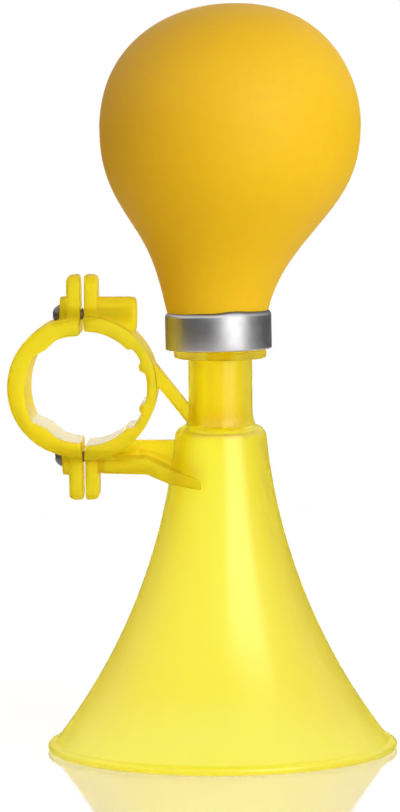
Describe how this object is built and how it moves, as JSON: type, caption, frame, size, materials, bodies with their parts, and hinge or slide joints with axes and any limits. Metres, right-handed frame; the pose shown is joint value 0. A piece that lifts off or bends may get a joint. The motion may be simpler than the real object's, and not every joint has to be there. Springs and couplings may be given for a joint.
{
  "type": "bicycle bulb horn",
  "caption": "Squeeze-bulb horn: flared translucent plastic bell with a neck, a brass reed inside a rubber bulb held by a metal band, and a split clamp that screws round a handlebar.",
  "frame": {"origin": "centre of the bell's mouth, on the plane that the rim rests on", "axes": "+Z along the neck from the mouth to the bulb, -X towards the handlebar clamp, Y along the handlebar's bore"},
  "size_m": [0.0876, 0.0796, 0.1692],
  "materials": {
    "bell_plastic": "glossy, translucent yellow",
    "clamp_plastic": "glossy, translucent golden yellow",
    "plug_plastic": "glossy golden yellow",
    "screw_steel": "dark, slightly tarnished",
    "reed_brass": "drawn and stamped",
    "band_metal": "satin, spun",
    "bulb_rubber": "matte, smooth"
  },
  "bodies": {
    "horn": {"bell": "bell_plastic", "clamp_bracket": "clamp_plastic", "reed_plug": "plug_plastic", "reed_shallot": "reed_brass", "reed_clip": "reed_brass", "ferrule": "band_metal"},
    "bulb": {"bulb": "bulb_rubber"},
    "jaw": {"clamp_jaw": "clamp_plastic"},
    "screw_top": {"clamp_screw_top": "screw_steel"},
    "screw_bottom": {"clamp_screw_bottom": "screw_steel"},
    "tongue": {"reed_tongue": "reed_brass"}
  },
  "joints": [
    {"name": "jaw_slide", "type": "slide", "parent": "horn", "child": "jaw", "axis": [-1, 0, 0], "range_m": [-0.0003, 0.008]},
    {"name": "screw_top_turn", "type": "hinge", "parent": "jaw", "child": "screw_top", "pos_m": [-0.036, 0, 0.0992], "axis": [-1, 0, 0], "range_deg": [-90, 2310]},
    {"name": "screw_bottom_turn", "type": "hinge", "parent": "jaw", "child": "screw_bottom", "pos_m": [-0.036, 0, 0.0668], "axis": [-1, 0, 0], "range_deg": [-90, 2310]},
    {"name": "reed_beat", "type": "hinge", "parent": "horn", "child": "tongue", "pos_m": [0, -0.00142, 0.1018], "axis": [1, 0, 0], "range_deg": [-1.5, 2.5], "stiffness_Nm_per_rad": 0.005},
    {"name": "bulb_squeeze", "type": "slide", "parent": "horn", "child": "bulb", "axis": [0, 0, -1], "range_m": [0, 0.018], "stiffness_N_per_m": 800, "springref_m": -0.003, "deforming": ["bulb"]}
  ],
  "couplings": [
    {"joint": "screw_top_turn", "follows": "jaw_slide", "rad_per_m": 5026.5},
    {"joint": "screw_bottom_turn", "follows": "jaw_slide", "rad_per_m": 5026.5}
  ]
}
